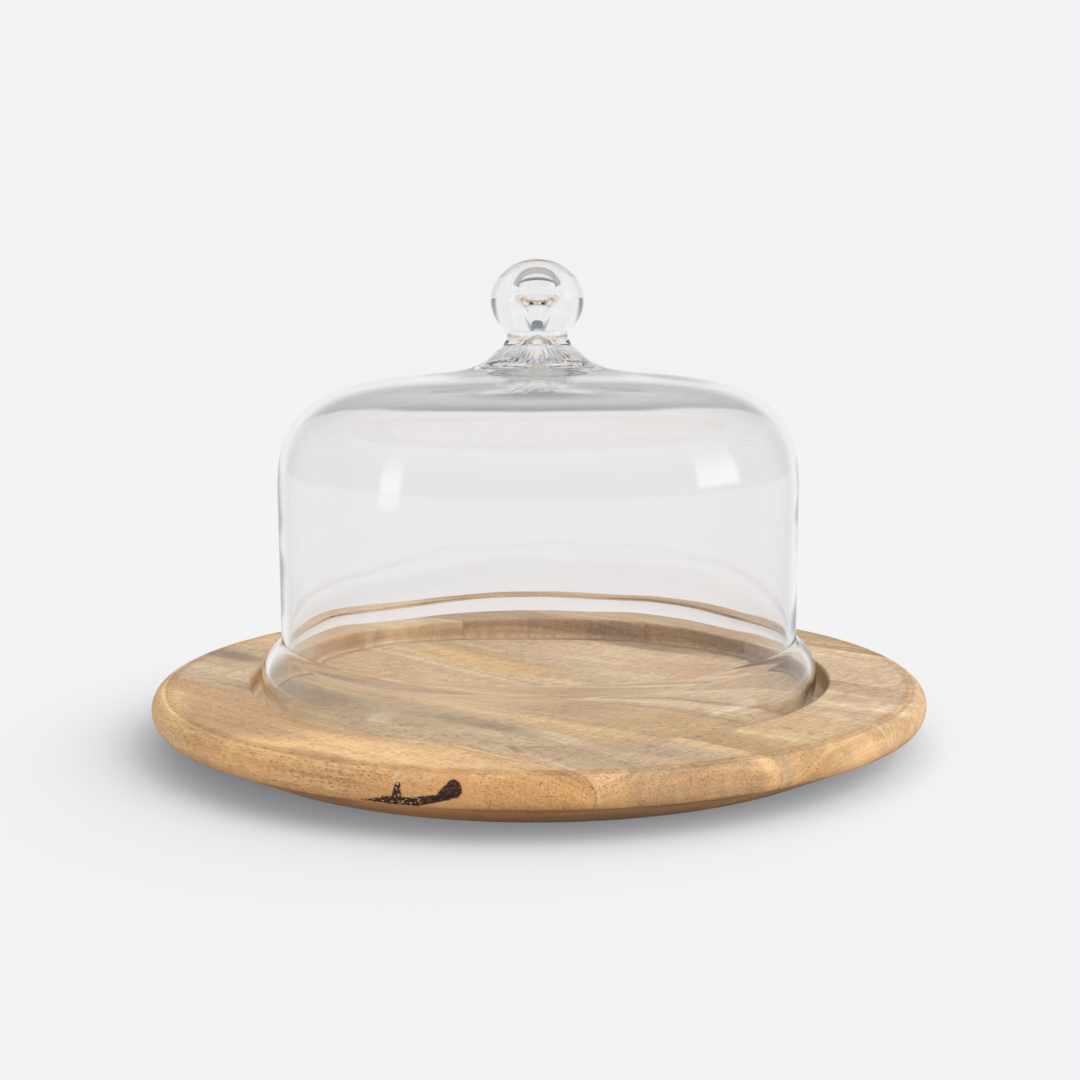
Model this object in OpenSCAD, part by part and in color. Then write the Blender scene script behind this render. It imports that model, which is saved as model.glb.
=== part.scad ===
// Glass bell jar with a ball knob, standing in the recess of a round wooden board.
// Millimetres. +Z is up. The origin is the centre of the board's underside.
// The board is glued up from six staves. The dome lifts straight up off the board.

/* [Board] */
// Diameter of the board at its widest line
board_d = 380; // [365:1:400]
// Thickness of the board
board_t = 27.5; // [26:0.5:32]
// Radius of the round upper edge
edge_r = 8.2; // [6:0.1:9]
// How far the round upper edge drops below the top face before it is widest
edge_drop = 8; // [5:0.1:8]
// How far the underside bevel runs in from the edge
bevel_w = 30; // [15:0.5:38]
// Height of the underside bevel
bevel_h = 14.8; // [9:0.1:15]
// Diameter of the recess that holds the dome
recess_d = 287.4; // [280:0.2:296]
// Depth of the recess
recess_depth = 10; // [6:0.5:12]
// Rounding of the recess rim
rim_r = 1.5; // [0.5:0.1:2.5]
// Fillet between the recess wall and its floor
floor_fillet = 3; // [1:0.1:3.5]

/* [Staves] */
// Width of each full stave
stave_w = 67; // [64:0.5:68]
// Place of the first glue line, measured across the grain from the centre
first_joint = -128.5; // [-134:0.5:-122]
// Angle of the grain, seen from above and counted from +X
grain_angle = -41; // [-90:1:90]

/* [Glass dome] */
// Outside diameter of the straight wall
wall_d = 256.2; // [250:0.2:260]
// Thickness of the glass
glass_t = 3.6; // [3:0.1:4]
// Widest outside diameter of the foot
foot_d = 276.4; // [270:0.2:280]
// Height of the foot above the lip, up to where the wall is straight
foot_h = 30.5; // [28:0.5:34]
// Height above the lip at which the wall starts to turn in
shoulder_h = 102.5; // [90:0.5:106]
// Height above the lip of the crown, where it starts to sweep up to the collar
crown_h = 158.9; // [156:0.1:161]
// Outside diameter of the crown where it starts to sweep up
crown_d = 109.6; // [100:0.2:120]
// Height above the lip of the collar's lower edge
collar_h = 172.5; // [171:0.1:174]
// Diameter of the collar's lower edge
collar_d = 34; // [32:0.1:40]
// Height above the lip of the collar's top, on which the knob is fused
neck_h = 179.2; // [178:0.1:183]
// Diameter of the collar's top
neck_d = 29.6; // [28:0.1:32]

/* [Knob] */
// Diameter of the ball, measured level
knob_d = 45.8; // [44:0.1:50]
// Upright diameter of the ball, which is a little flattened
knob_v = 40; // [38:0.1:42]
// How much of the ball's upright diameter is lost in the fused joint
knob_sink = 4.7; // [3:0.1:8]

/* [Hidden] */
$fn = 96;

board_r = board_d / 2;
recess_r = recess_d / 2;
seat_z = board_t - recess_depth;
// The lip stands this far above the recess floor, so that the two never cut into each other
seat_gap = 0.2;
lip_z = seat_z + seat_gap;

// Number of straight steps in each arc and curve
arc_steps = 8;
curve_steps = 18;

// The foot: its widest line, the flatter arc below it, the arc above it, and the hollow arc of
// the crease, which meets that arc and the straight wall without a kink
foot_r = foot_d / 2;
foot_wide_h = 11;
skirt_arc_r = 40;
lip_angle = asin((foot_wide_h - glass_t / 2) / (skirt_arc_r - glass_t / 2));
crease_r = 4.2;
crease_c = [wall_d / 2 + crease_r, foot_h];
foot_arc_r = (pow(crease_c[0] - foot_r, 2) + pow(foot_h - foot_wide_h, 2) - crease_r * crease_r)
    / (2 * (foot_r - wall_d / 2));
crease_turn = acos((crease_c[0] - foot_r + foot_arc_r) / (foot_arc_r + crease_r));

// The handles of the curves that form the shoulder and the sweep up to the collar
crown_slope = 0.066;
shoulder_up = 39;
shoulder_out = 55.6;
sweep_in = 31.9;
collar_flare = [9.4, -6.4];

// The hollow under the crown rises to a point just below the knob
hollow_tip_r = 0.8;
hollow_tip_drop = 2.6;
hollow_mouth = [14, 0.9];
hollow_throat = [9, -10];

stave_tones = ["#a88a66", "#c99f66", "#bb9a70", "#caa878", "#b8946a", "#c6a477"];

function arc(centre, r, from, to) =
    [for (i = [0 : arc_steps])
        let (a = from + (to - from) * i / arc_steps)
        centre + r * [cos(a), sin(a)]];

// A cubic curve from a to d with the handles b and c
function curve(a, b, c, d, steps = curve_steps) =
    [for (i = [0 : steps])
        let (t = i / steps, s = 1 - t)
        s * s * s * a + 3 * s * s * t * b + 3 * s * t * t * c + t * t * t * d];

// The points of a list without its first, so that two joined curves share no point twice
function tail(points) = [for (i = [1 : len(points) - 1]) points[i]];

// Half of the board's cross-section, before the staves are told apart
module board_outline() {
    edge_z = board_t - edge_drop;
    edge_c = [board_r - edge_r, edge_z];
    round_edge = arc(edge_c, edge_r, -asin(min(1, (edge_z - bevel_h) / edge_r)), asin(edge_drop / edge_r));
    rim = arc([recess_r + rim_r, board_t - rim_r], rim_r, 90, 180);
    fillet = arc([recess_r - floor_fillet, seat_z + floor_fillet], floor_fillet, 0, -90);
    polygon(concat(
        [[0, 0], [round_edge[0][0] - bevel_w, 0]],
        round_edge,
        rim,
        fillet,
        [[0, seat_z]]
    ));
}

// One stave: the slice of the board between two glue lines, numbered from the front
module stave(number) {
    low = number == 1 ? -board_d : first_joint + (number - 2) * stave_w;
    high = number == 6 ? board_d : first_joint + (number - 1) * stave_w;
    color(stave_tones[number - 1])
        intersection() {
            rotate_extrude() board_outline();
            rotate([0, 0, grain_angle])
                translate([-board_d, low, -1])
                    cube([2 * board_d, high - low, board_t + 2]);
        }
}

// The side of the dome from the lip up to the crown, at an inset from its outer surface
function shell_side(inset) =
    let (
        foot_c = [foot_r - foot_arc_r, foot_wide_h],
        skirt_c = [foot_r - skirt_arc_r, foot_wide_h],
        crown = [crown_d / 2, crown_h - inset],
        turn = [wall_d / 2 - inset, shoulder_h]
    )
    concat(
        arc(skirt_c, skirt_arc_r - inset, -lip_angle, 0),
        tail(arc(foot_c, foot_arc_r - inset, 0, crease_turn)),
        tail(arc(crease_c, crease_r + inset, 180 + crease_turn, 180)),
        curve(
            turn,
            turn + [0, shoulder_up - inset],
            crown + shoulder_out * [1, -crown_slope],
            crown
        )
    );

function reversed(points) = [for (i = [len(points) - 1 : -1 : 0]) points[i]];

module dome_outline() {
    crown = [crown_d / 2, crown_h];
    collar = [collar_d / 2, collar_h];
    hollow_crown = crown - [0, glass_t];
    hollow_tip = [hollow_tip_r, neck_h - hollow_tip_drop];
    lip_c = [foot_r - skirt_arc_r, foot_wide_h]
        + (skirt_arc_r - glass_t / 2) * [cos(lip_angle), -sin(lip_angle)];
    outer = shell_side(0);
    inner = shell_side(glass_t);
    sweep = curve(crown, crown + sweep_in * [-1, crown_slope], collar + collar_flare, collar);
    hollow = curve(hollow_crown, hollow_crown + [hollow_mouth[0] - hollow_crown[0], hollow_mouth[1]],
        hollow_tip + hollow_throat, hollow_tip);
    polygon(concat(
        outer,
        tail(sweep),
        [[neck_d / 2, neck_h], [0, neck_h], [0, hollow_tip[1]]],
        reversed(hollow),
        tail(reversed(inner)),
        tail(arc(lip_c, glass_t / 2, -180 - lip_angle, -lip_angle))
    ));
}

// The blown glass shell, open below
module dome_shell() {
    color([0.82, 0.88, 0.9, 0.45])
        translate([0, 0, lip_z])
            rotate_extrude() dome_outline();
}

// The solid ball of glass that is fused on the collar
module knob() {
    centre_h = knob_v / 2 - knob_sink;
    start = -asin(centre_h / (knob_v / 2));
    ball = [for (i = [0 : 2 * curve_steps])
        let (a = start + (90 - start) * i / (2 * curve_steps))
        [knob_d / 2 * cos(a), centre_h + knob_v / 2 * sin(a)]];
    color([0.78, 0.84, 0.86, 0.6])
        translate([0, 0, lip_z + neck_h])
            rotate_extrude() polygon(concat([[0, 0]], ball));
}

stave(1);  // stave_1
stave(2);  // stave_2
stave(3);  // stave_3
stave(4);  // stave_4
stave(5);  // stave_5
stave(6);  // stave_6
dome_shell();
knob();
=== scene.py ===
"""Looks for a glass cloche on a round wooden board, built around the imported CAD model.

Blender units are metres. Lengths named here are in millimetres and go through MM.
+Z is up, -Y is the front, and the board's underside lies at z = 0.
"""

import math

import bmesh
import bpy
import numpy as np
from mathutils import Matrix, Vector, noise


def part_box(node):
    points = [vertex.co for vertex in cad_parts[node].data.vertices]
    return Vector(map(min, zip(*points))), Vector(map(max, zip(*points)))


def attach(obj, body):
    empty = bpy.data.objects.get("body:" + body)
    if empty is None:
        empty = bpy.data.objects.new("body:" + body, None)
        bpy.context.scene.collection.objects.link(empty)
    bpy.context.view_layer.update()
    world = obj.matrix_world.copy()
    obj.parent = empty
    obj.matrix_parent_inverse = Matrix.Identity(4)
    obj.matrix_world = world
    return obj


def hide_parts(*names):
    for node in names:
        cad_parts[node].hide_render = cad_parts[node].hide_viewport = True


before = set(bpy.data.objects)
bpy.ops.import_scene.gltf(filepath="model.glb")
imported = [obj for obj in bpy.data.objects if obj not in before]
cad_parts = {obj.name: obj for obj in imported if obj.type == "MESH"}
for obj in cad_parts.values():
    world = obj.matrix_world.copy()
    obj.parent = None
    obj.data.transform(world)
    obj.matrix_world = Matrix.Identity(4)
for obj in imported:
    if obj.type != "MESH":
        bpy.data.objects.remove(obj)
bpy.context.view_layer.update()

MM = 0.001
STAVES = ["stave_%d" % number for number in range(1, 7)]

# The board, in millimetres, as the CAD model has it
BOARD_R = 190.0
BOARD_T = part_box("stave_3")[1].z / MM
EDGE_R = 8.2
EDGE_DROP = 8.0
BEVEL_W = 30.0
BEVEL_H = 14.8
RECESS_R = 143.7
SEAT_Z = BOARD_T - 10.0
RIM_R = 1.5
FLOOR_FILLET = 3.0

# The staves: the grain's direction in plan, and the glue lines across it
GRAIN_ANGLE = math.radians(-41)
STAVE_W = 67.0
FIRST_JOINT = -128.5

# The glass, in millimetres above its lip
LIP_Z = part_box("dome_shell")[0].z / MM
NECK_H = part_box("dome_shell")[1].z / MM - LIP_Z
GLASS_T = 3.6
WALL_R = 128.1
FOOT_R = 138.2
FOOT_WIDE_H = 11.0
FOOT_ARC_R = 19.7
CREASE_R = 4.2
SKIRT_ARC_R = 40.0
SHOULDER_H = 102.5
CROWN = (54.8, 158.9)
COLLAR = (17.0, 172.5)
NECK_R = 14.8
KNOB_R = 22.9
KNOB_V = 20.0
KNOB_SINK = 4.7

# The curves that form the shoulder and the sweep up to the collar, given by their handles
CROWN_SLOPE = 0.066
SHOULDER_UP = 39
SHOULDER_OUT = 55.6
SWEEP_IN = 31.9
COLLAR_FLARE = (9.4, -6.4)

# The hollow under the crown, which rises to a point just below the knob
HOLLOW_TIP_R = 0.8
HOLLOW_TIP_DROP = 2.6
HOLLOW_TIP_RISE = 0.35
HOLLOW_MOUTH = (14, 0.9)
HOLLOW_THROAT = (9, -10)

# How a piece of glass is divided: its steps around, and its steps across the fused face
GLASS_SEGMENTS = 256
FUSED_STEPS = 4
# The gap that keeps the two fused faces from lying in one plane
FUSED_GAP = 0.02

# The places of a glass mesh's materials
CLEAR_SLOT, FUSED_SLOT, BUBBLE_SLOT = 0, 1, 2

# Blown by hand: how far waves and ripples push the inside and waves push the outside, how far the
# puckers under the crown push, and the ring between two radii that the puckers fill
WAVE_INSIDE, RIPPLE_INSIDE, WAVE_OUTSIDE = 0.30, 0.07, 0.10
PUCKER = 0.42
PUCKER_RING = (6, 24)
# The waves run out below this height, over this length, to a small rest
WAVE_TOP, WAVE_FADE, WAVE_REST = 118, 25, 0.12
# Inside this radius the hollow faces down, and inside the smaller one the glass stays as it is
CROWN_HOLLOW_R, STILL_R = 60, 3


def arc(centre, radius, start, end, steps):
    """Points of an arc, with its angles in degrees."""
    angles = np.radians(np.linspace(start, end, steps + 1))
    return [(centre[0] + radius * math.cos(a), centre[1] + radius * math.sin(a)) for a in angles]


def curve(a, b, c, d, steps):
    """Points of a cubic curve from a to d with the handles b and c."""
    t = np.linspace(0, 1, steps + 1)[:, None]
    a, b, c, d = (np.array(p, float) for p in (a, b, c, d))
    points = (1 - t) ** 3 * a + 3 * (1 - t) ** 2 * t * b + 3 * (1 - t) * t * t * c + t ** 3 * d
    return [tuple(p) for p in points]


def line(a, b, steps):
    """Points of a straight line from a to b."""
    return [tuple(np.array(a) + (np.array(b) - np.array(a)) * i / steps) for i in range(steps + 1)]


def joined(*runs):
    """One outline from several runs of points, without the points that two runs share."""
    points = []
    for run in runs:
        for p in run:
            if not points or math.dist(p, points[-1]) > 1e-6:
                points.append(p)
    return points


def new_object(name, mesh):
    """An object in the scene that shows a mesh, a camera or a light."""
    made = bpy.data.objects.new(name, mesh)
    bpy.context.scene.collection.objects.link(made)
    return made


def revolve(name, outline, segments):
    """A mesh turned about the Z axis from an outline of (radius, height) points in millimetres.
    A point on the axis becomes one vertex. Also says which step of the outline made each face."""
    turns = np.linspace(0, 2 * math.pi, segments, endpoint=False)
    vertices, rows = [], []
    for radius, height in outline:
        if radius < 1e-6:
            rows.append([len(vertices)])
            vertices.append((0, 0, height * MM))
        else:
            rows.append(list(range(len(vertices), len(vertices) + segments)))
            vertices += [(radius * MM * math.cos(t), radius * MM * math.sin(t), height * MM)
                         for t in turns]
    faces, strip_of = [], []
    for strip, (low, high) in enumerate(zip(rows, rows[1:])):
        for i in range(segments):
            j = (i + 1) % segments
            if len(low) == 1:
                faces.append((low[0], high[j], high[i]))
            elif len(high) == 1:
                faces.append((low[i], low[j], high[0]))
            else:
                faces.append((low[i], low[j], high[j], high[i]))
            strip_of.append(strip)
    mesh = bpy.data.meshes.new(name)
    mesh.from_pydata(vertices, [], faces)
    mesh.update()
    return mesh, np.array(strip_of)


def shade(mesh, crease_degrees):
    """Smooth shading that breaks at edges sharper than crease_degrees."""
    mesh.polygons.foreach_set("use_smooth", np.ones(len(mesh.polygons), bool))
    mesh.set_sharp_from_angle(angle=math.radians(crease_degrees))


def face_outward(mesh):
    """Turns the normals of a closed mesh outward."""
    bm = bmesh.new()
    bm.from_mesh(mesh)
    bmesh.ops.recalc_face_normals(bm, faces=bm.faces)
    bm.to_mesh(mesh)
    bm.free()


# ---------------------------------------------------------------- shader helpers

def light(red, green, blue):
    """A linear colour from screen values of 0 to 255."""
    def channel(v):
        # the screen's transfer curve
        v /= 255
        return v / 12.92 if v <= 0.04045 else ((v + 0.055) / 1.055) ** 2.4
    return (channel(red), channel(green), channel(blue), 1.0)


class Shader:
    """A thin wrapper for making nodes in one tree."""

    def __init__(self, tree):
        self.tree = tree
        tree.nodes.clear()

    def node(self, kind, inputs=None, **settings):
        made = self.tree.nodes.new(kind)
        for key, value in settings.items():
            setattr(made, key, value)
        for key, value in (inputs or {}).items():
            if isinstance(value, bpy.types.NodeSocket):
                self.tree.links.new(value, made.inputs[key])
            else:
                made.inputs[key].default_value = value
        return made

    def math(self, operation, a, b=0.0, c=0.0):
        return self.node("ShaderNodeMath", {0: a, 1: b, 2: c}, operation=operation).outputs[0]

    def ramp(self, value, low, high, out_low=0.0, out_high=1.0):
        """value from low..high to out_low..out_high, eased at both ends and clamped."""
        inputs = {0: value, 1: low, 2: high, 3: out_low, 4: out_high}
        made = self.node("ShaderNodeMapRange", inputs)
        made.interpolation_type = "SMOOTHSTEP"
        return made.outputs[0]

    def within(self, value, low, high, fade_low, fade_high):
        """1 from low to high, and eased to 0 at fade_low below it and at fade_high above it."""
        return self.math("MULTIPLY", self.ramp(value, fade_low, low),
                         self.ramp(value, fade_high, high))

    def length(self, a, b):
        """The length of the vector with the two parts a and b."""
        squares = self.math("ADD", self.math("MULTIPLY", a, a), self.math("MULTIPLY", b, b))
        return self.math("SQRT", squares)

    def mix(self, share, a, b, blend="MIX"):
        """The colours a and b, mixed by share."""
        # the colour sockets of a Mix node: A is 6, B is 7, and the result is 2
        inputs = {0: share, 6: a, 7: b}
        made = self.node("ShaderNodeMix", inputs, data_type="RGBA", blend_type=blend)
        return made.outputs[2]

    def stretched(self, vector, size, shift=(0, 0, 0)):
        """vector divided by size, after a shift, for texture that is long one way."""
        moved = self.node("ShaderNodeVectorMath", {0: vector, 1: shift}, operation="ADD")
        return self.node("ShaderNodeVectorMath", {0: moved.outputs[0], 1: size},
                         operation="DIVIDE").outputs[0]

    def surface(self, shader):
        """Sends a shader node to the material's output."""
        self.node("ShaderNodeOutputMaterial", {"Surface": shader.outputs[0]})

    def noise(self, vector, detail=2.0, roughness=0.5):
        inputs = {"Vector": vector, "Scale": 1.0, "Detail": detail, "Roughness": roughness}
        return self.node("ShaderNodeTexNoise", inputs).outputs["Fac"]


def new_material(name):
    """A material with an empty node tree, and the wrapper to fill it."""
    material = bpy.data.materials.new(name)
    material.use_nodes = True
    return material, Shader(material.node_tree)


# ---------------------------------------------------------------- camera and studio

BACKDROP = light(242, 242, 244)

# The room that glass mirrors, in linear colours: low in front, high, behind, and straight behind
ROOM_LOW = (0.12, 0.115, 0.115, 1)
ROOM_HIGH = (0.50, 0.51, 0.52, 1)
ROOM_BEHIND = (0.47, 0.51, 0.53, 1)
ROOM_STRAIGHT = (0.87, 0.87, 0.88, 1)

# The windows: the direction of the middle, counted from the front, and the half width in degrees,
# the sine of the low and of the high end's slope, and the strength
WINDOWS = [(-65, 5, -0.09, 0.30, 1.7), (83, 12, 0.03, 0.30, 1.7)]

# What shows through both sides of the dome high up, and what shows far off to the sides
HIGH_WALL = light(116, 130, 140)
DARK_SIDE = (0.12, 0.12, 0.12, 1)

# What lights matt surfaces: away from the lamps, towards them, and how much more from low down
LAMP_DARK = (0.08, 0.08, 0.09, 1)
LAMP_BRIGHT = (0.99, 0.98, 0.98, 1)
LAMP_LOW_GAIN = (1.60, 1.62, 1.66, 1)


def make_camera():
    """The photo's view: close, 7 degrees above the level, aimed at the middle of the set."""
    pitch, distance, roll = math.radians(7.076), 0.700, math.radians(-0.27)
    aim_z, sideways = 0.0935, 0.0008
    data = bpy.data.cameras.new("camera")
    data.lens, data.sensor_width = 46.48, 36.0
    data.clip_start, data.clip_end = 0.05, 50.0
    camera = new_object("camera", data)
    place = (sideways, -distance * math.cos(pitch), aim_z + distance * math.sin(pitch))
    turn = Matrix.Rotation(math.pi / 2 - pitch, 4, "X") @ Matrix.Rotation(roll, 4, "Z")
    camera.matrix_world = Matrix.Translation(place) @ turn
    bpy.context.scene.camera = camera


def make_world():
    """A plain pale studio. What glass mirrors is a dimmer room, with two tall windows in front and
    the pale backdrop behind. Through both sides of the dome, the wall high up behind is bluer.
    What lights matt surfaces is brightest from the right and the front."""
    world = bpy.data.worlds.new("studio")
    bpy.context.scene.world = world
    world.use_nodes = True
    s = Shader(world.node_tree)
    direction = s.node("ShaderNodeTexCoord").outputs["Generated"]
    x, y, z = s.node("ShaderNodeSeparateXYZ", {0: direction}).outputs
    path = s.node("ShaderNodeLightPath")

    def passed(kind, times):
        """1 when the ray has been through more than this many events of a kind."""
        return s.math("GREATER_THAN", path.outputs[kind + " Depth"], times)

    # the mirrored room, with windows that show only on the near side of the dome
    room = s.mix(s.ramp(z, 0.2, 0.6), ROOM_LOW, ROOM_HIGH)
    behind = s.math("MULTIPLY", s.ramp(y, -0.1, 0.5), s.ramp(z, 0.60, 0.30))
    room = s.mix(behind, room, ROOM_BEHIND)
    straight = s.math("MULTIPLY", s.ramp(y, 0.70, 0.88), s.ramp(z, 0.42, 0.22))
    room = s.mix(straight, room, ROOM_STRAIGHT)
    azimuth = s.math("ARCTAN2", x, s.math("MULTIPLY", y, -1.0))
    near_side = s.math("LESS_THAN", path.outputs["Transmission Depth"], 3.0)
    side_blur, low_blur, high_blur = 1.5, 0.02, 0.25
    for middle, half_width, low, high, strength in WINDOWS:
        off = s.math("ABSOLUTE", s.math("SUBTRACT", azimuth, math.radians(middle)))
        outer = math.radians(half_width + side_blur)
        wide = s.ramp(off, outer, math.radians(half_width - side_blur))
        tall = s.math("MULTIPLY", s.ramp(z, low - low_blur, low + low_blur),
                      s.ramp(z, high + high_blur, high - high_blur))
        pane = s.math("MULTIPLY", s.math("MULTIPLY", wide, tall), near_side)
        room = s.mix(pane, room, (strength, strength, strength, 1))

    # what shows through glass, which has two surfaces on each side of the dome
    high_wall = s.within(z, 0.112, 0.24, 0.100, 0.36)
    beyond = s.mix(s.math("MULTIPLY", high_wall, passed("Transmission", 3.5)), BACKDROP, HIGH_WALL)
    beyond = s.mix(s.ramp(s.math("ABSOLUTE", x), 0.72, 0.88), beyond, DARK_SIDE)

    # the lamp field
    lean = s.math("MULTIPLY_ADD", y, -0.38, s.math("MULTIPLY", z, 0.25))
    lean = s.math("MULTIPLY_ADD", x, 0.80, lean)
    lamp = s.mix(s.ramp(lean, -0.58, 0.08), LAMP_DARK, LAMP_BRIGHT)
    lamp = s.mix(s.ramp(z, 0.62, 0.18), lamp, LAMP_LOW_GAIN, "MULTIPLY")

    shown = s.mix(passed("Transmission", 0.5), BACKDROP, beyond)
    shown = s.mix(passed("Glossy", 0.5), shown, room)
    shown = s.mix(passed("Diffuse", 0.5), shown, lamp)
    glow = s.node("ShaderNodeBackground", {"Color": shown, "Strength": 1.0})
    s.node("ShaderNodeOutputWorld", {"Surface": glow.outputs[0]})


def make_floor():
    """A round pale table top, in metres. It fades into the backdrop towards its rim, so that no
    edge shows."""
    radius, fade, glow_share = 9.0, 5.0, 0.15
    mesh, _ = revolve("floor", line((0, 0), (radius / MM, 0), 12), segments=128)
    floor = new_object("floor", mesh)
    material, s = new_material("floor")
    place = s.node("ShaderNodeTexCoord").outputs["Object"]
    out = s.node("ShaderNodeVectorMath", {0: place}, operation="LENGTH").outputs["Value"]
    solid = s.ramp(out, radius, radius - fade)
    paper = s.node("ShaderNodeBsdfDiffuse", {"Color": (0.813, 0.817, 0.834, 1)})
    glow = s.node("ShaderNodeEmission", {"Color": BACKDROP})
    lit = s.node("ShaderNodeMixShader", {0: glow_share, 1: paper.outputs[0], 2: glow.outputs[0]})
    clear = s.node("ShaderNodeBsdfTransparent")
    s.surface(s.node("ShaderNodeMixShader", {0: solid, 1: clear.outputs[0], 2: lit.outputs[0]}))
    mesh.materials.append(material)
    floor.visible_glossy = False


def make_lights():
    """One very soft key from above, out of sight in the glass."""
    data = bpy.data.lights.new("key", "SUN")
    data.energy, data.angle = 1.25, math.radians(48)
    data.color = (1.0, 0.965, 0.91)
    key = new_object("key", data)
    towards = Vector((0.70, -0.34, 0.64))
    key.rotation_euler = towards.to_track_quat("Z", "Y").to_euler()
    key.visible_glossy = False
    key.visible_transmission = False


# ---------------------------------------------------------------- glass

def glass_material(name, tint):
    """Clear glass. Its tint is taken at each surface that light passes."""
    material, s = new_material(name)
    s.surface(s.node("ShaderNodeBsdfPrincipled", {
        "Base Color": tint, "Roughness": 0.0, "IOR": 1.5, "Transmission Weight": 1.0}))
    return material


def fused_material():
    """The face where knob and collar are fused: light passes it as if it weren't there."""
    material, s = new_material("fused_glass")
    s.surface(s.node("ShaderNodeBsdfTransparent"))
    return material


def lip_angle():
    """How far the skirt's arc turns in below the foot's widest line, in radians."""
    return math.asin((FOOT_WIDE_H - GLASS_T / 2) / (SKIRT_ARC_R - GLASS_T / 2))


def side_outline():
    """The dome's outside from the lip up to the crown."""
    foot_c = (FOOT_R - FOOT_ARC_R, FOOT_WIDE_H)
    crease_out = WALL_R + CREASE_R
    turn = math.acos((crease_out - foot_c[0]) / (FOOT_ARC_R + CREASE_R))
    crease_c = (crease_out, FOOT_WIDE_H + (FOOT_ARC_R + CREASE_R) * math.sin(turn))
    turn = math.degrees(turn)
    skirt_c = (FOOT_R - SKIRT_ARC_R, FOOT_WIDE_H)
    return joined(
        arc(skirt_c, SKIRT_ARC_R, -math.degrees(lip_angle()), 0, 14),
        arc(foot_c, FOOT_ARC_R, 0, turn, 30),
        arc(crease_c, CREASE_R, 180 + turn, 180, 20),
        line((WALL_R, crease_c[1]), (WALL_R, SHOULDER_H), 44),
        curve((WALL_R, SHOULDER_H), (WALL_R, SHOULDER_H + SHOULDER_UP),
              (CROWN[0] + SHOULDER_OUT, CROWN[1] - SHOULDER_OUT * CROWN_SLOPE), CROWN, 70))


def inward(points, distance):
    """The same run of points, moved square to itself towards the axis."""
    run = np.array(points)
    along = np.gradient(run, axis=0)
    along[0], along[-1] = run[1] - run[0], run[-1] - run[-2]
    along /= np.linalg.norm(along, axis=1)[:, None]
    return [tuple(p) for p in run + distance * np.stack([-along[:, 1], along[:, 0]], 1)]


def shell_outline():
    """From the middle of the fused face, over the collar and down the outside, round the lip and
    up the inside to the tip of the hollow."""
    sweep = curve(CROWN, (CROWN[0] - SWEEP_IN, CROWN[1] + SWEEP_IN * CROWN_SLOPE),
                  (COLLAR[0] + COLLAR_FLARE[0], COLLAR[1] + COLLAR_FLARE[1]), COLLAR, 50)
    collar = curve(COLLAR, (COLLAR[0] - 0.9, COLLAR[1] + 2.5),
                   (NECK_R, NECK_H - 4), (NECK_R, NECK_H), 10)
    tip = (HOLLOW_TIP_R, NECK_H - HOLLOW_TIP_DROP)
    outside = side_outline()
    inside = inward(outside, GLASS_T)
    mouth = inside[-1]
    hollow = curve(mouth, (HOLLOW_MOUTH[0], mouth[1] + HOLLOW_MOUTH[1]),
                   (tip[0] + HOLLOW_THROAT[0], tip[1] + HOLLOW_THROAT[1]), tip, 60)
    turn, middle = lip_angle(), SKIRT_ARC_R - GLASS_T / 2
    lip_c = (FOOT_R - SKIRT_ARC_R + middle * math.cos(turn), FOOT_WIDE_H - middle * math.sin(turn))
    lip = arc(lip_c, GLASS_T / 2, -math.degrees(turn), -180 - math.degrees(turn), 12)
    face = line((0, NECK_H), (NECK_R, NECK_H), FUSED_STEPS)
    points = joined(face, collar[::-1], sweep[::-1], outside[::-1], lip, inside, hollow,
                    [(0, tip[1] + HOLLOW_TIP_RISE)])
    return [(r, h + LIP_Z) for r, h in points]


def knob_outline():
    """From the middle of the fused face, out and over the ball to its top."""
    middle = KNOB_V - KNOB_SINK
    start = -math.degrees(math.asin(middle / KNOB_V))
    ball = [(KNOB_R * math.cos(a), NECK_H + middle + KNOB_V * math.sin(a))
            for a in np.radians(np.linspace(start + 1, 90, 90))]
    ball[-1] = (0.0, ball[-1][1])
    base = NECK_H + FUSED_GAP
    points = joined(line((0, base), (NECK_R, base), FUSED_STEPS), ball)
    return [(r, h + LIP_Z) for r, h in points]


def bubble_outline():
    """The air in the ball: a round bowl that turns in sharply to a narrow funnel, which ends just
    above the fused face."""
    low, top = NECK_H + 1.6, NECK_H + 26.3
    neck, under, bowl = (5.6, NECK_H + 12.8), (7.7, NECK_H + 14.7), (9.3, NECK_H + 18.8)
    points = joined(
        curve((0, low), (0.9, low + 0.1), (1.2, low + 1.6), neck, 40),
        curve(neck, (5.9, neck[1] + 0.9), (6.7, under[1] - 0.8), under, 16),
        curve(under, (8.7, under[1] + 0.8), (9.3, bowl[1] - 2.0), bowl, 16),
        curve(bowl, (9.3, bowl[1] + 4.2), (5.6, top), (0, top), 30))
    return [(r, h + LIP_Z) for r, h in points]


def add_hollow(mesh, outline):
    """Adds a closed hollow to a mesh of glass: a turned shape that faces the air it holds."""
    inner, _ = revolve("hollow", outline, segments=128)
    face_outward(inner)
    inner.flip_normals()
    slots = np.full(len(inner.polygons), BUBBLE_SLOT, np.int32)
    inner.polygons.foreach_set("material_index", slots)
    bm = bmesh.new()
    bm.from_mesh(mesh)
    bm.from_mesh(inner)
    bm.to_mesh(mesh)
    bm.free()
    bpy.data.meshes.remove(inner)


def around(turn, lobes, height):
    """Noise that closes on itself around the axis, finer with more lobes."""
    return noise.noise(Vector((lobes * math.cos(turn), lobes * math.sin(turn), height)))


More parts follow.
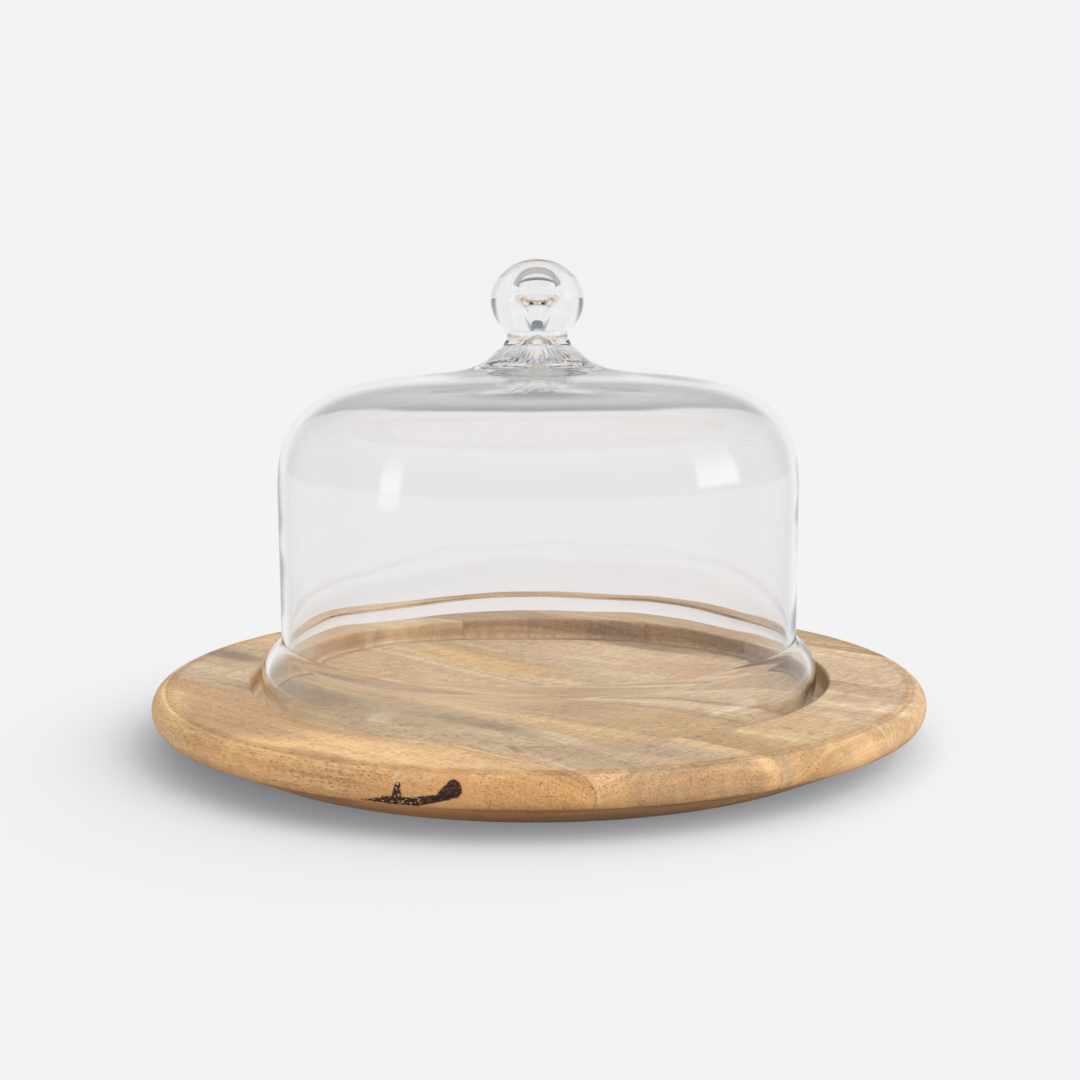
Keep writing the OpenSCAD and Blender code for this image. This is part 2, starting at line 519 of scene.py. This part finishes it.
def hand_blown(mesh):
    """Slight waves in the shell, stronger inside, and puckers in the hollow under the collar."""
    normals = np.empty(len(mesh.vertices) * 3)
    mesh.vertex_normals.foreach_get("vector", normals)
    ring_in, ring_out = PUCKER_RING
    for vertex, normal in zip(mesh.vertices, normals.reshape(-1, 3)):
        x, y, h = vertex.co.x / MM, vertex.co.y / MM, vertex.co.z / MM - LIP_Z
        r = math.hypot(x, y)
        if r < STILL_R:
            continue
        turn = math.atan2(y, x)
        inward_normal = (normal[0] * x + normal[1] * y) / r < 0
        inside = inward_normal or (r < CROWN_HOLLOW_R and normal[2] < 0)
        waves, ripples = around(turn, 1.6, h / 42), around(turn, 5, h / 16)
        push = WAVE_INSIDE * waves + RIPPLE_INSIDE * ripples if inside else WAVE_OUTSIDE * waves
        push *= min(1, h / WAVE_FADE) * max(WAVE_REST, min(1, (WAVE_TOP - h) / WAVE_FADE))
        if inside and ring_in < r < ring_out:
            ring = min(1, (r - ring_in) / 4) * min(1, (ring_out - r) / 8)
            push += PUCKER * ring * around(turn, 13, r / 7)
        vertex.co += Vector(normal) * push * MM
    mesh.update()


def make_glass(name, outline, node, hollow=None):
    """A piece of glass on the dome, turned from an outline that begins with its fused face."""
    mesh, step_of = revolve(name, outline, GLASS_SEGMENTS)
    mesh.materials.append(clear_glass)
    mesh.materials.append(fused_glass)
    slots = np.where(step_of < FUSED_STEPS, FUSED_SLOT, CLEAR_SLOT)
    mesh.polygons.foreach_set("material_index", slots.astype(np.int32))
    face_outward(mesh)
    if hollow:
        mesh.materials.append(bubble_glass)
        add_hollow(mesh, hollow)
    else:
        hand_blown(mesh)
    shade(mesh, crease_degrees=35)
    piece = new_object(name, mesh)
    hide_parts(node)
    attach(piece, "dome")
    piece.visible_diffuse = False
    piece.visible_shadow = False


# ---------------------------------------------------------------- wood

def board_outline():
    """The turned board, from the middle of its underside, round the edge, over the bead near it
    and the top, and down into the recess."""
    edge_z = BOARD_T - EDGE_DROP
    low = -math.degrees(math.asin((edge_z - BEVEL_H) / EDGE_R))
    edge = arc((BOARD_R - EDGE_R, edge_z), EDGE_R, low, 66, 34)
    bevel_foot = (edge[0][0] - BEVEL_W, 0.0)
    bead_in, bead_z = BOARD_R - 6.4, edge[-1][1] + 0.02
    bead, brow = (bead_in, bead_z), (bead_in - 1.9, BOARD_T)
    return joined(
        line((0, 0), bevel_foot, 6),
        line(bevel_foot, edge[0], 8),
        edge,
        curve(edge[-1], (edge[-1][0] - 0.7, bead_z + 0.12), (bead_in + 0.4, bead_z), bead, 6),
        curve(bead, (bead_in - 0.7, bead_z), (brow[0] + 0.8, BOARD_T), brow, 8),
        line(brow, (RECESS_R + RIM_R, BOARD_T), 16),
        arc((RECESS_R + RIM_R, BOARD_T - RIM_R), RIM_R, 90, 180, 8),
        line((RECESS_R, BOARD_T - RIM_R), (RECESS_R, SEAT_Z + FLOOR_FILLET), 6),
        arc((RECESS_R - FLOOR_FILLET, SEAT_Z + FLOOR_FILLET), FLOOR_FILLET, 0, -90, 8),
        line((RECESS_R - FLOOR_FILLET, SEAT_Z), (0, SEAT_Z), 20))


# What each stave looks like: its pale, middle and dark tones as screen colours, the pith's place
# across the grain and its height in millimetres, a shift of its own, and how rippled it is
STAVE_LOOKS = [
    ((236, 196, 144), (207, 169, 126), (180, 141, 100), (-190, -46), 17, 0.5),
    ((220, 194, 160), (203, 176, 143), (174, 147, 116), (-84, -62), 53, 0.8),
    ((224, 193, 148), (208, 175, 133), (184, 149, 111), (-10, -90), 91, 0.8),
    ((230, 203, 166), (216, 188, 152), (190, 158, 120), (70, -34), 139, 1.0),
    ((226, 196, 158), (210, 180, 144), (182, 150, 114), (84, -120), 173, 1.0),
    ((218, 188, 148), (203, 170, 130), (174, 140, 100), (196, -52), 211, 0.7)]

# Patches where the tone changes: the stave, the middle and the half lengths along and across the
# grain, how far it climbs across the grain for each step along it, a screen colour and how strongly
# it shows. The wide ones follow the growth rings.
WIDE_PATCH = 16
PATCHES = [
    (1, (44, -160), (62, 17), 0.29, (244, 202, 146), 0.9),
    (1, (-72, -140), (66, 20), -0.3, (198, 158, 118), 0.6),
    (1, (104, -136), (30, 5), 0.4, (228, 188, 140), 0.6),
    (1, (124, -143), (24, 8), 0.87, (194, 150, 100), 0.75),
    (1, (-90, -164), (64, 12), -0.55, (240, 204, 152), 0.8),
    (1, (32, -176), (24, 4.5), 0.15, (196, 158, 116), 0.7),
    (2, (-151, -79), (24, 8), 0.0, (150, 122, 98), 0.8),
    (2, (160, -98), (26, 9), 1.6, (182, 148, 112), 0.8),
    (2, (86, -110), (28, 7), 0.0, (168, 144, 119), 0.7),
    (2, (99, -108), (62, 15), 0.0, (186, 160, 130), 0.5),
    (2, (90, -119), (11, 2.6), -0.4, (150, 126, 106), 0.8),
    (2, (99, -122.4), (5.0, 2.8), 0.0, (224, 174, 128), 0.9),
    (2, (146, -124), (16, 7), 0.0, (224, 180, 132), 0.5),
    (2, (26, -70), (40, 8), 0.0, (172, 146, 116), 0.75),
    (2, (152, -65.5), (36, 4.2), 0.0, (232, 194, 146), 0.8),
    (3, (184, -58.5), (10, 3), 0.0, (178, 156, 134), 0.8),
    (3, (52, -50), (46, 9), 0.0, (232, 196, 142), 0.5),
    (3, (186, -44), (9, 14), 0.0, (188, 154, 114), 0.75),
    (3, (189, -12), (7, 10), 0.0, (228, 192, 148), 0.6),
    (4, (187, 22), (9, 15), 0.0, (192, 160, 122), 0.75),
    (4, (149, 43), (14, 9), 0.0, (194, 164, 132), 0.6),
    (4, (-66, 34), (60, 22), 0.0, (226, 184, 124), 0.8),
    (5, (166, 94), (16, 12), -0.55, (200, 166, 128), 0.7),
    (5, (40, 84), (50, 16), 0.0, (220, 178, 142), 0.7),
    (5, (-26, 128), (40, 12), 0.0, (166, 132, 104), 0.7),
    (6, (40, 160), (70, 10), 0.0, (182, 146, 106), 0.6)]

# The dark knot in the front edge, as (along the edge, height) in millimetres: each stroke has two
# ends and a radius at each
KNOT = [
    ((-70, 15.4), (-58, 16.6), 0.2, 1.6),
    ((-60, 16.6), (-47, 16.6), 1.7, 1.9),
    ((-48, 16.6), (-38.5, 18.8), 1.9, 1.6),
    ((-38.5, 18.8), (-32.6, 22.3), 1.6, 3.4),
    ((-54.8, 17.0), (-54.6, 23.0), 2.4, 1.1)]
# A pale crust around the end of the knot's upright stroke
CRUST = ((-55.6, 25.3), (-53.8, 25.3), 0.9, 0.9)

# Painted shade on the turned wood: in the step beside the bead, on the rounded edge with the end
# grain's oiled tone, more of it on the edge's lower half, with warm bounce light on the bevel under
# it, and on the wall of the recess
STEP_SHADE = (0.86, 0.76, 0.64, 1)
EDGE_TONE_AND_SHADE = (0.96, 0.87, 0.73, 1)
LOW_EDGE_SHADE = (0.84, 0.78, 0.68, 1)
BEVEL_SHADE = (0.55, 0.38, 0.20, 1)
RECESS_WALL_SHADE = (0.80, 0.68, 0.54, 1)

# The studio's light on flat wood, and the albedo that the wood has for the light it throws back
WOOD_LIGHT = 1.07
NEUTRAL = (0.22, 0.21, 0.21, 1)


def wood_colour(red, green, blue):
    """The albedo that shows as this screen colour under the studio's light."""
    return tuple(v / WOOD_LIGHT for v in light(red, green, blue)[:3]) + (1.0,)


def stroke(s, along, up, start, end, r_start, r_end):
    """Distance from a stroke that runs from start to end, negative inside it."""
    run = (end[0] - start[0], end[1] - start[1])
    dx, dy = s.math("SUBTRACT", along, start[0]), s.math("SUBTRACT", up, start[1])
    share = s.math("ADD", s.math("MULTIPLY", dx, run[0]), s.math("MULTIPLY", dy, run[1]))
    share = s.math("DIVIDE", share, run[0] ** 2 + run[1] ** 2)
    share = s.math("MINIMUM", s.math("MAXIMUM", share, 0.0), 1.0)
    dx = s.math("SUBTRACT", dx, s.math("MULTIPLY", share, run[0]))
    dy = s.math("SUBTRACT", dy, s.math("MULTIPLY", share, run[1]))
    radius = s.math("MULTIPLY_ADD", share, r_end - r_start, r_start)
    return s.math("SUBTRACT", s.length(dx, dy), radius)


def knotted(s, place, grain, up, out, colour, height, gloss):
    """The colour, height and roughness of the wood with the dark knot in its front edge."""
    x, y, _ = s.node("ShaderNodeSeparateXYZ", {0: place}).outputs
    azimuth = s.math("ARCTAN2", x, s.math("MULTIPLY", y, -1.0))
    round_the_edge = s.math("MULTIPLY", azimuth, BOARD_R)
    knot = stroke(s, round_the_edge, up, *KNOT[0])
    for run in KNOT[1:]:
        knot = s.math("MINIMUM", knot, stroke(s, round_the_edge, up, *run))
    rough = s.noise(s.stretched(grain, (2.6, 1.0, 0.8)), 3, 0.6)
    fray = s.math("MULTIPLY_ADD", s.math("SUBTRACT", rough, 0.5), 1.0, knot)
    near_edge = s.ramp(out, 176, 181)

    halo = s.math("MULTIPLY", s.ramp(fray, 8.0, 0.0, 0.0, 0.5), near_edge)
    colour = s.mix(halo, colour, wood_colour(206, 146, 86))
    rot = s.math("MULTIPLY", s.ramp(fray, 0.35, -0.35), near_edge)
    ember = s.mix(s.ramp(rough, 0.45, 0.70), wood_colour(50, 28, 22), wood_colour(108, 66, 42))
    speck = s.noise(s.stretched(grain, (1.1, 0.8, 0.7), (31, 7, 3)), 1)
    far_end = s.ramp(round_the_edge, -42.0, -46.0, 0.0, 0.8)
    crumbs = s.math("MULTIPLY", s.ramp(speck, 0.60, 0.66), far_end)
    ember = s.mix(crumbs, ember, wood_colour(206, 170, 122))
    colour = s.mix(rot, colour, ember)

    crust = s.math("ABSOLUTE", stroke(s, round_the_edge, up, *CRUST))
    crust = s.math("MULTIPLY", s.ramp(crust, 1.1, 0.3), s.ramp(speck, 0.42, 0.50))
    crust = s.math("MULTIPLY", crust, near_edge)
    colour = s.mix(crust, colour, wood_colour(208, 182, 144))

    height = s.math("MULTIPLY_ADD", rot, -3.0, height)
    height = s.math("MULTIPLY_ADD", s.math("MULTIPLY", rot, rough), 3.0, height)
    return colour, height, s.math("MULTIPLY_ADD", rot, 0.15, gloss)


def wood_material(index):
    """The wood of one stave, counted from 0 at the front."""
    pale, middle, dark, pith, shift, ripple = STAVE_LOOKS[index]
    material, s = new_material("wood_%d" % (index + 1))
    place = s.node("ShaderNodeTexCoord").outputs["Object"]
    grain = s.node("ShaderNodeMapping", {"Vector": place, "Rotation": (0, 0, -GRAIN_ANGLE),
                                         "Scale": (1000, 1000, 1000)}).outputs[0]
    along, across, up = s.node("ShaderNodeSeparateXYZ", {0: grain}).outputs
    own = (shift * 7.0, shift * 3.0, shift)

    # growth rings about a pith that wanders along the stave
    drift = s.noise(s.stretched(grain, (150, 46, 60), own), 2)
    wander = s.math("MULTIPLY_ADD", s.math("SUBTRACT", drift, 0.5), 34.0, across)
    off_pith = s.math("SUBTRACT", wander, float(pith[0]))
    ring = s.length(off_pith, s.math("SUBTRACT", up, float(pith[1])))
    ringed = s.node("ShaderNodeCombineXYZ", {0: along, 1: ring, 2: float(shift)}).outputs[0]
    bands = s.noise(s.stretched(ringed, (190, 9, 1)), 3, 0.55)
    lines = s.noise(s.stretched(ringed, (130, 1.5, 1)), 2, 0.6)
    colour = s.mix(s.ramp(bands, 0.30, 0.52), wood_colour(*dark), wood_colour(*middle))
    colour = s.mix(s.ramp(bands, 0.48, 0.70), colour, wood_colour(*pale))

    for stave, centre, size, climb, tone, strength in PATCHES:
        if stave != index + 1:
            continue
        dx = s.math("DIVIDE", s.math("SUBTRACT", along, centre[0]), size[0])
        own_line = s.math("MULTIPLY_ADD", dx, climb * size[0], centre[1])
        dy = s.math("SUBTRACT", wander if size[1] > WIDE_PATCH else across, own_line)
        away = s.length(dx, s.math("DIVIDE", dy, size[1]))
        ragged = s.math("MULTIPLY_ADD", s.math("SUBTRACT", lines, 0.5), 0.9, away)
        colour = s.mix(s.ramp(ragged, 1.35, 0.35, 0.0, strength), colour, wood_colour(*tone))

    # fine detail: growth lines, fibres, ripple across the grain, and short dark pores
    fibre = s.noise(s.stretched(grain, (9, 0.55, 0.55)), 3, 0.65)
    chatoyance = s.noise(s.stretched(grain, (2.3, 11, 8)), 1)
    pore = s.noise(s.stretched(grain, (3.4, 0.60, 0.60), own), 1, 0.7)
    porous = s.ramp(s.noise(s.stretched(grain, (60, 10, 14)), 1), 0.30, 0.60, 0.35, 1.0)
    pores = s.math("MULTIPLY", s.ramp(pore, 0.54, 0.68), porous)
    spread = 0.10 * ripple
    detail = s.ramp(lines, 0.25, 0.75, 0.90, 1.07)
    for part in (s.ramp(fibre, 0.25, 0.75, 0.80, 1.19),
                 s.ramp(chatoyance, 0.3, 0.7, 1 - spread, 1 + spread),
                 s.math("MULTIPLY_ADD", pores, -0.52, 1.10)):
        detail = s.math("MULTIPLY", detail, part)
    grey = s.node("ShaderNodeCombineColor", {0: detail, 1: detail, 2: detail}).outputs[0]
    colour = s.mix(1.0, colour, grey, "MULTIPLY")

    # painted shade in the step beside the bead
    level = s.stretched(grain, (1, 1, 1e6))
    out = s.node("ShaderNodeVectorMath", {0: level}, operation="LENGTH").outputs["Value"]
    step = s.math("MULTIPLY", s.within(out, 181.5, 183.4, 177.5, 184.6), s.ramp(up, 26.0, 26.6))
    colour = s.mix(step, colour, STEP_SHADE, "MULTIPLY")
    # the rounded edge: partly the oiled end grain's deeper tone, partly painted shade
    outer = s.ramp(out, 183.5, 186.5)
    edge = s.math("MULTIPLY", outer, s.ramp(up, 28.0, 24.0, 0.5, 1.0))
    colour = s.mix(edge, colour, EDGE_TONE_AND_SHADE, "MULTIPLY")
    # painted shade, darker towards the bottom of the rounded edge
    low_edge_shade = s.math("MULTIPLY", outer, s.ramp(up, 19.5, 14.5))
    colour = s.mix(low_edge_shade, colour, LOW_EDGE_SHADE, "MULTIPLY")
    # painted shade with warm bounce light on the bevel under the edge; the same mask lowers its
    # specular level
    shaded_bevel = s.math("MULTIPLY", s.ramp(out, 150.0, 160.0), s.ramp(up, 16.0, 13.5))
    colour = s.mix(shaded_bevel, colour, BEVEL_SHADE, "MULTIPLY")
    # painted shade on the wall of the recess, in the gap beside the glass foot
    recess_wall_shade = s.within(out, 143.4, 144.2, 142.0, 145.4)
    colour = s.mix(recess_wall_shade, colour, RECESS_WALL_SHADE, "MULTIPLY")

    # a thin dark glue line on both sides of the stave
    line_mask = 0.0
    for joint in (index - 1, index):
        if 0 <= joint < len(STAVES) - 1:
            gap = s.math("SUBTRACT", across, FIRST_JOINT + joint * STAVE_W)
            glue = s.ramp(s.math("ABSOLUTE", gap), 0.45, 0.12, 0.0, 0.34)
            line_mask = s.math("MAXIMUM", line_mask, glue)
    colour = s.mix(line_mask, colour, wood_colour(112, 80, 52))

    height = s.math("MULTIPLY_ADD", pores, -1.0, s.math("MULTIPLY", fibre, 0.6))
    gloss = s.ramp(fibre, 0.3, 0.7, 0.46, 0.60)
    if index == 0:
        colour, height, gloss = knotted(s, place, grain, up, out, colour, height, gloss)

    # the light that the wood throws back on the pale table is kept neutral, like in a lit studio
    thrown_back = s.node("ShaderNodeLightPath").outputs["Is Diffuse Ray"]
    colour = s.mix(thrown_back, colour, NEUTRAL)

    bump = s.node("ShaderNodeBump", {"Strength": 0.35, "Distance": 0.0002, "Height": height})
    s.surface(s.node("ShaderNodeBsdfPrincipled", {
        "Base Color": colour, "Roughness": gloss, "Normal": bump.outputs[0],
        "Specular IOR Level": s.math("MULTIPLY_ADD", shaded_bevel, -0.33, 0.35)}))
    return material


def make_staves():
    """The turned board, cut along the glue lines into six closed staves."""
    board, _ = revolve("board", board_outline(), segments=512)
    across = Vector((-math.sin(GRAIN_ANGLE), math.cos(GRAIN_ANGLE), 0))
    for index, node in enumerate(STAVES):
        low = None if index == 0 else FIRST_JOINT + (index - 1) * STAVE_W
        high = None if index == len(STAVES) - 1 else FIRST_JOINT + index * STAVE_W
        bm = bmesh.new()
        bm.from_mesh(board)
        for cut, side in ((low, -1), (high, 1)):
            if cut is None:
                continue
            everything = bm.verts[:] + bm.edges[:] + bm.faces[:]
            bmesh.ops.bisect_plane(bm, geom=everything, plane_co=across * cut * MM,
                                   plane_no=across * side, clear_outer=True, dist=1e-7)
            rim = [e for e in bm.edges if e.is_boundary]
            bmesh.ops.holes_fill(bm, edges=rim, sides=0)
        bmesh.ops.recalc_face_normals(bm, faces=bm.faces)
        mesh = bpy.data.meshes.new(node + "_wood")
        bm.to_mesh(mesh)
        bm.free()
        shade(mesh, crease_degrees=9)
        mesh.materials.append(wood_material(index))
        piece = new_object(node + "_wood", mesh)
        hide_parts(node)
        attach(piece, "board")


make_camera()
make_world()
make_floor()
make_lights()
make_staves()
clear_glass = glass_material("clear_glass", (0.981, 0.977, 0.972, 1))
bubble_glass = glass_material("bubble_glass", (1, 1, 1, 1))
fused_glass = fused_material()
make_glass("dome_shell_glass", shell_outline(), "dome_shell")
make_glass("knob_glass", knob_outline(), "knob", bubble_outline())

scene = bpy.context.scene
scene.view_settings.view_transform = "Standard"
scene.view_settings.look = "None"
scene.cycles.max_bounces = 32
scene.cycles.transmission_bounces = 32
scene.cycles.glossy_bounces = 12
scene.cycles.transparent_max_bounces = 32
